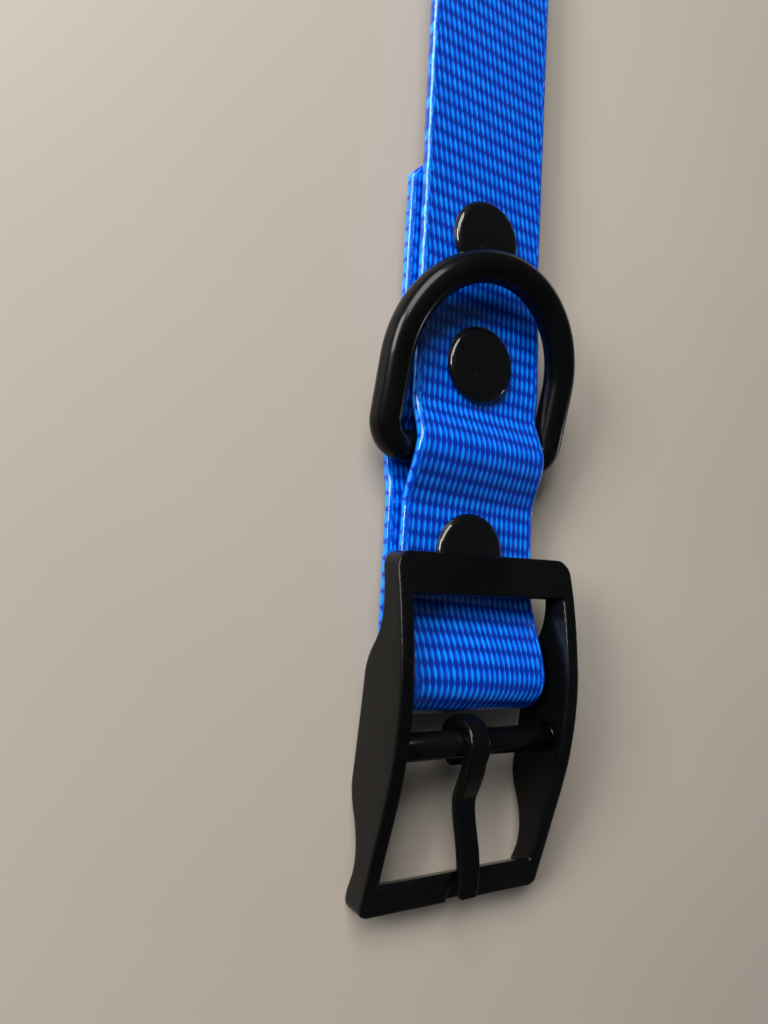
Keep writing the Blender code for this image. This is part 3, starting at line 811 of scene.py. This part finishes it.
def add_rivets():
    """Caps over the strap, and back caps with their posts."""
    material = gloss_material()
    for number, y_place in enumerate(RIVET_Y, 1):
        low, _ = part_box(f"rivet_cap_{number}")
        cap = lathe(f"domed_cap_{number}", cap_outline(CAP_TOP, CAP_CROWN) + [(0, 0)])
        cap.location = (0, y_place, low.z)
        low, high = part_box(f"rivet_back_{number}")
        post = high.z - low.z - CAP_HEIGHT
        outline = cap_outline(CAP_HEIGHT, BACK_CROWN)
        outline += [(POST_RADIUS, 0), (POST_RADIUS, -post), (0, -post)]
        rear = lathe(f"back_cap_{number}", outline)
        rear.rotation_euler = (math.pi, 0, 0)
        rear.location = (0, y_place, low.z + CAP_HEIGHT)
        for piece, node in ((cap, f"rivet_cap_{number}"), (rear, f"rivet_back_{number}")):
            set_material(piece, material)
            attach(piece, "collar")
            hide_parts(node)


def arc(centre, radii, start, sweep, steps):
    """Points along an elliptical arc."""
    turns = [start + sweep * step / steps for step in range(steps + 1)]
    return [
        (centre[0] + radii[0] * math.cos(turn), centre[1] + radii[1] * math.sin(turn))
        for turn in turns
    ]


def ring_line():
    """Centre line of the D-ring in its own plane."""
    corner = RING_CORNER
    inner = RING_HALF_WIDTH - corner
    quarter = math.pi / 2
    return (
        arc((inner, corner), (corner, corner), -quarter, quarter, CORNER_STEPS)
        + arc((0, RING_LEG), (RING_HALF_WIDTH, RING_ARCH), 0, math.pi, ARCH_STEPS)
        + arc((-inner, corner), (corner, corner), math.pi, quarter, CORNER_STEPS)
    )


def add_ring(material):
    """The D-ring as a smooth wire."""
    curve = bpy.data.curves.new("ring_wire", "CURVE")
    curve.dimensions = "3D"
    curve.bevel_depth = RING_WIRE
    curve.bevel_resolution = WIRE_RESOLUTION
    points = ring_line()
    spline = curve.splines.new("POLY")
    spline.points.add(len(points) - 1)
    for point, (x_place, y_place) in zip(spline.points, points):
        point.co = (x_place, y_place, 0, 1)
    spline.use_cyclic_u = True
    spline.use_smooth = True
    ring = add_object("ring_wire", curve)
    ring.location = (RING_SHIFT, RING_Y, RING_Z)
    ring.rotation_euler = (RING_TILT, 0, 0)
    set_material(ring, material)
    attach(ring, "ring")
    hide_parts("d_ring")


def add_bars(material):
    """The round bars across the buckle, with a fine groove where each enters its rail."""
    for node in ("strap_bar", "tongue_bar"):
        low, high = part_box(node)
        half = (high.x - low.x) / 2
        foot = BAR_RADIUS - BAR_CHAMFER
        outline = [(0, -half), (foot, -half), (BAR_RADIUS, -half + BAR_CHAMFER)]
        for groove in (GROOVE_INSET - half, half - GROOVE_INSET):
            outline += [
                (BAR_RADIUS, groove - GROOVE),
                (BAR_RADIUS - GROOVE, groove),
                (BAR_RADIUS, groove + GROOVE),
            ]
        outline += [(BAR_RADIUS, half - BAR_CHAMFER), (foot, half), (0, half)]
        bar = lathe(f"round_{node}", outline, BAR_SIDES)
        bar.rotation_euler = (0, math.pi / 2, 0)
        bar.location = (low + high) / 2
        set_material(bar, material)
        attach(bar, "buckle")
        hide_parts(node)


def cast_copy(name, node, voxel, smoothing):
    """A copy of a node's shape with all its edges softened, as cast or forged metal."""
    obj = add_object(name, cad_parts[node].data.copy())
    remesh = obj.modifiers.new("cast", "REMESH")
    remesh.mode = "VOXEL"
    remesh.voxel_size = voxel
    remesh.use_smooth_shade = True
    soften = obj.modifiers.new("soften", "SMOOTH")
    soften.factor = SOFTENING
    soften.iterations = smoothing
    bake_modifiers(obj)
    return obj


def add_buckle(material):
    """The cast frame."""
    body = cast_copy("cast_frame", "buckle_frame", FRAME_VOXEL, FRAME_PASSES)
    set_material(body, material)
    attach(body, "buckle")
    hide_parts("buckle_frame")


def add_tongue(material):
    """The bent tongue."""
    tongue = cast_copy("bent_tongue", "tongue", TONGUE_VOXEL, TONGUE_PASSES)
    set_material(tongue, material)
    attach(tongue, "tongue")
    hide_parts("tongue")


add_camera()
add_studio()
add_webbing()
add_rivets()
cast_black = satin_material("satin_black_casting", *CAST_FINISH)
wire_black = satin_material("satin_black_wire", *WIRE_FINISH)
add_ring(wire_black)
add_bars(wire_black)
add_buckle(cast_black)
add_tongue(wire_black)
